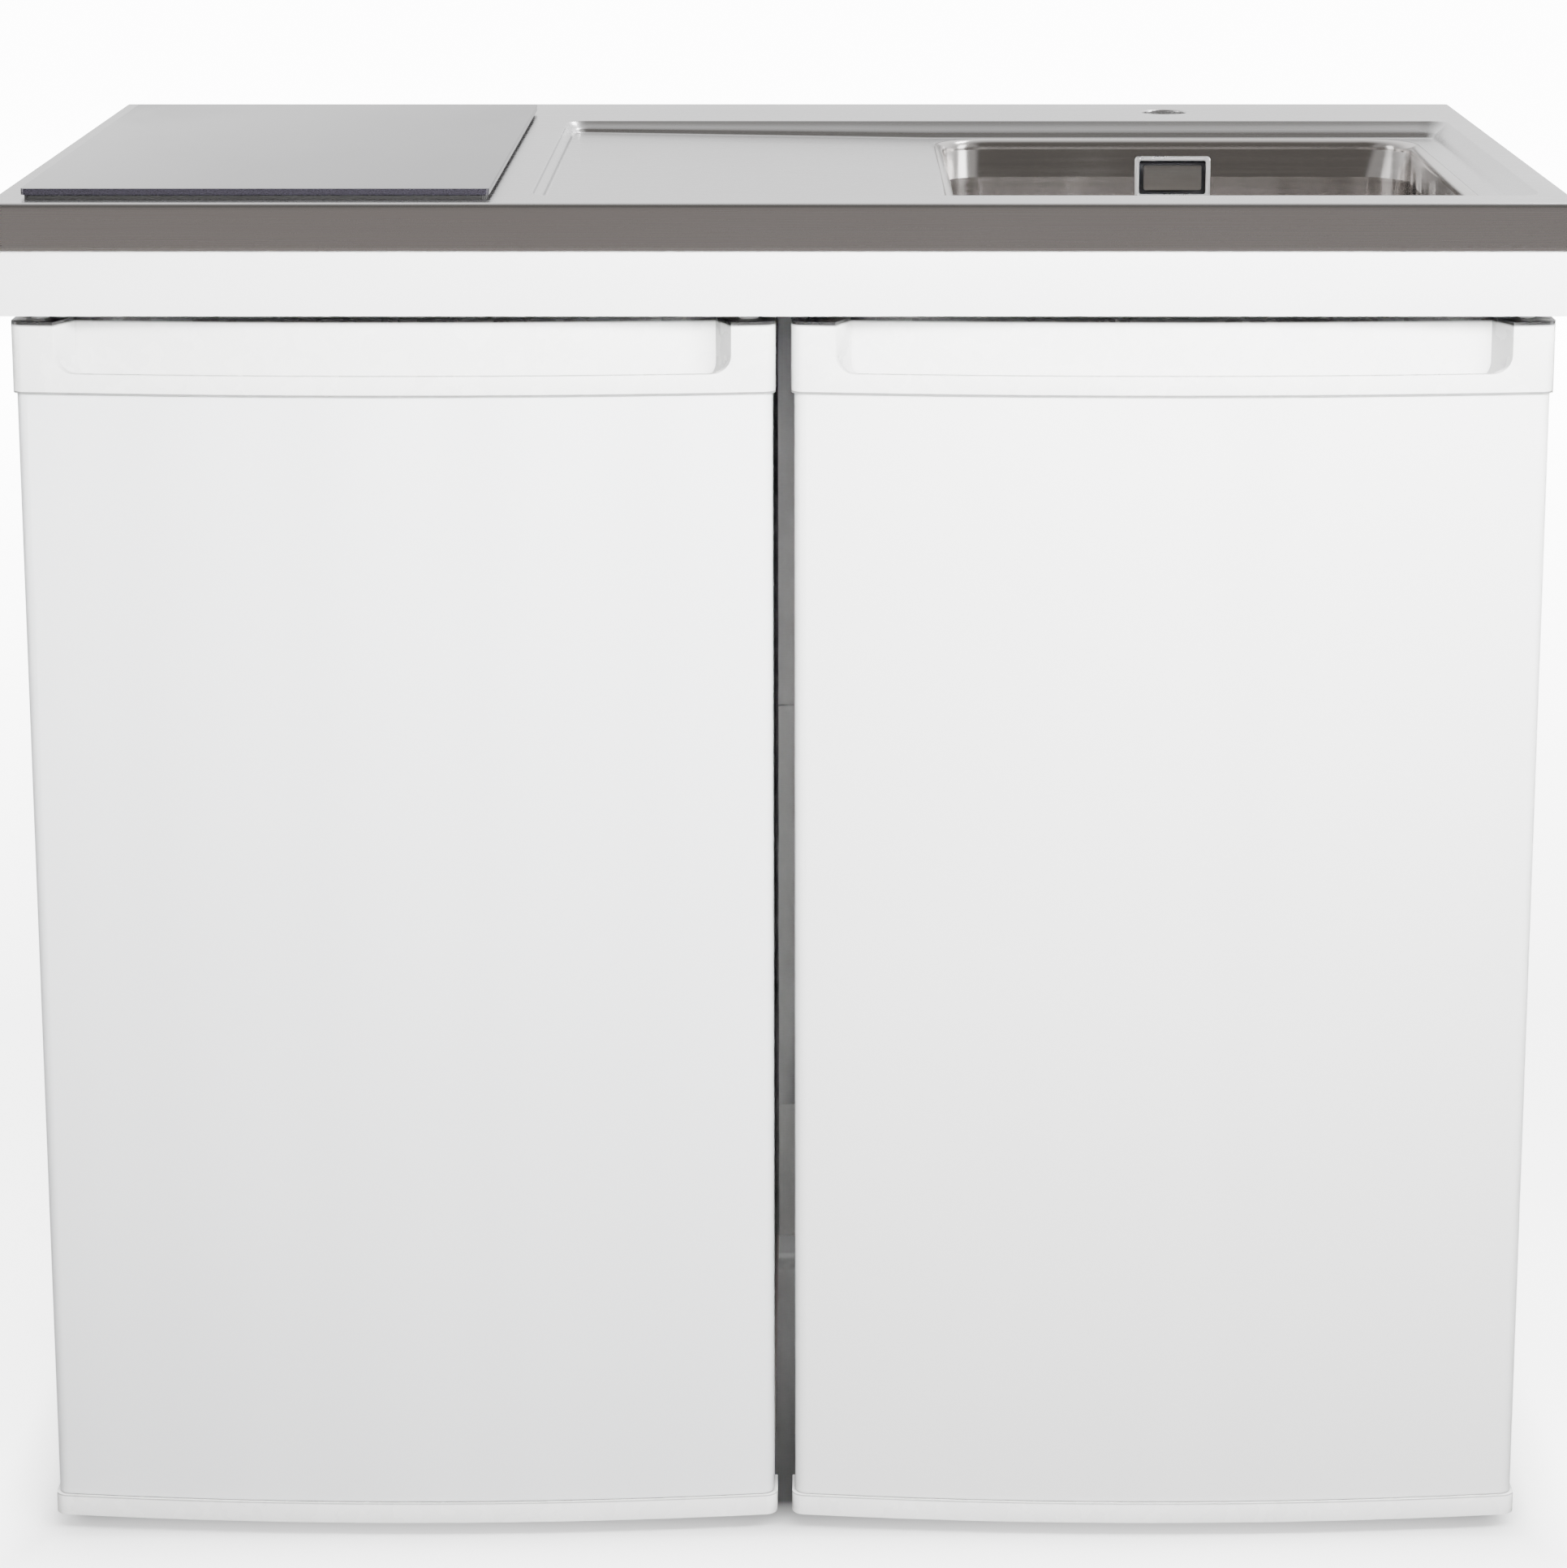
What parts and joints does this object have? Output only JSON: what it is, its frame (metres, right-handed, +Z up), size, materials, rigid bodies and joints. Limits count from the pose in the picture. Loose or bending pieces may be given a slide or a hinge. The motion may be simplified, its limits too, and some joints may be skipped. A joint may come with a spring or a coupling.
{
  "type": "kitchenette unit",
  "caption": "Kitchenette unit: a pressed steel worktop with a sink, a drainer and a flush glass hob, over a small refrigerator and a sink cupboard with bowed white doors.",
  "frame": {"origin": "centre of the footprint, on the floor", "axes": "+X to the right seen from the front, +Y to the back, +Z up"},
  "size_m": [1, 0.6, 0.907],
  "materials": {
    "worktop_steel": "satin",
    "bowl_steel": "satin",
    "chipboard": "matte",
    "zinc_steel": "satin",
    "frame_white": "satin",
    "pad_rubber": "matte",
    "overflow_chrome": "polished",
    "cover_steel": "satin",
    "black_plastic": "matte",
    "hose_grey": "satin",
    "drain_white": "satin",
    "hob_black": "gloss",
    "seal_black": "matte",
    "heater_ceramic": "matte",
    "circuit_board": "satin",
    "cabinet_white": "satin",
    "insulation": "matte",
    "liner_white": "gloss",
    "base_grey": "satin",
    "grille_white": "satin",
    "hinge_white": "satin",
    "shelf_glass": "gloss",
    "clear_plastic": "gloss",
    "icebox_aluminium": "satin",
    "knob_plastic": "gloss",
    "lamp_plastic": "gloss",
    "compressor_black": "satin",
    "condenser_black": "satin",
    "door_panel_cool": "satin",
    "door_panel_warm": "satin",
    "cap_white": "gloss",
    "gasket_grey": "matte",
    "bush_plastic": "satin",
    "cupboard_board": "satin",
    "cupboard_liner": "satin"
  },
  "bodies": {
    "unit": {"worktop_deck": "worktop_steel", "worktop_core": "chipboard", "tap_plate": "zinc_steel", "apron_frame": "frame_white", "worktop_pads": "pad_rubber", "fixing_tabs": "zinc_steel", "sink_bowl": "bowl_steel", "overflow_frame": "overflow_chrome", "overflow_cover": "cover_steel", "overflow_housing": "black_plastic", "overflow_hose": "hose_grey", "waste_body": "bowl_steel", "waste_nut": "black_plastic", "trap_body": "drain_white", "trap_cup": "drain_white", "trap_outlet": "drain_white", "hob_glass": "hob_black", "hob_seal": "seal_black", "hob_pan": "zinc_steel", "hob_heater_front": "heater_ceramic", "hob_heater_rear": "heater_ceramic", "hob_control_unit": "circuit_board", "fridge_skin": "cabinet_white", "fridge_foam": "insulation", "fridge_liner": "liner_white", "fridge_base": "base_grey", "fridge_toe_grille": "grille_white", "levelling_feet": "black_plastic", "fridge_hinges": "hinge_white", "fridge_shelves": "shelf_glass", "crisper_lid": "shelf_glass", "icebox": "icebox_aluminium", "icebox_frame": "liner_white", "thermostat_housing": "liner_white", "lamp_cover": "lamp_plastic", "compressor": "compressor_black", "drip_tray": "black_plastic", "condenser_coil": "condenser_black", "condenser_wires": "condenser_black", "cupboard_sides": "cupboard_board", "cupboard_floor": "cupboard_board", "cupboard_back": "cupboard_board", "cupboard_shelf": "cupboard_board", "cupboard_hinges": "hinge_white", "screws": "zinc_steel"},
    "fridge_door": {"fridge_door_panel": "door_panel_cool", "fridge_door_top_cap": "cap_white", "fridge_door_bottom_cap": "cap_white", "fridge_door_liner": "liner_white", "fridge_door_foam": "insulation", "fridge_door_gasket": "gasket_grey", "fridge_door_bins": "clear_plastic", "fridge_door_bushes": "bush_plastic"},
    "cupboard_door": {"cupboard_door_panel": "door_panel_warm", "cupboard_door_caps": "cap_white", "cupboard_door_liner": "cupboard_liner"},
    "crisper": {"crisper_drawer": "clear_plastic"},
    "icebox_flap": {"icebox_flap": "clear_plastic"},
    "thermostat_knob": {"thermostat_knob": "knob_plastic"},
    "strainer": {"waste_strainer": "bowl_steel"}
  },
  "joints": [
    {"name": "fridge_door_hinge", "type": "hinge", "parent": "unit", "child": "fridge_door", "pos_m": [-0.473, -0.265, 0.4], "axis": [0, 0, -1], "range_deg": [0, 110]},
    {"name": "cupboard_door_hinge", "type": "hinge", "parent": "unit", "child": "cupboard_door", "pos_m": [0.473, -0.265, 0.4], "axis": [0, 0, 1], "range_deg": [0, 110]},
    {"name": "crisper_slide", "type": "slide", "parent": "unit", "child": "crisper", "axis": [0, -1, 0], "range_m": [0, 0.07]},
    {"name": "icebox_flap_hinge", "type": "hinge", "parent": "unit", "child": "icebox_flap", "pos_m": [-0.2475, 0.013, 0.762], "axis": [-1, 0, 0], "range_deg": [0, 90]},
    {"name": "thermostat_knob_turn", "type": "hinge", "parent": "unit", "child": "thermostat_knob", "pos_m": [-0.0945, -0.096, 0.591], "axis": [1, 0, 0], "range_deg": [0, 270]},
    {"name": "strainer_lift", "type": "slide", "parent": "unit", "child": "strainer", "axis": [0, 0, 1], "range_m": [0, 0.02]}
  ]
}
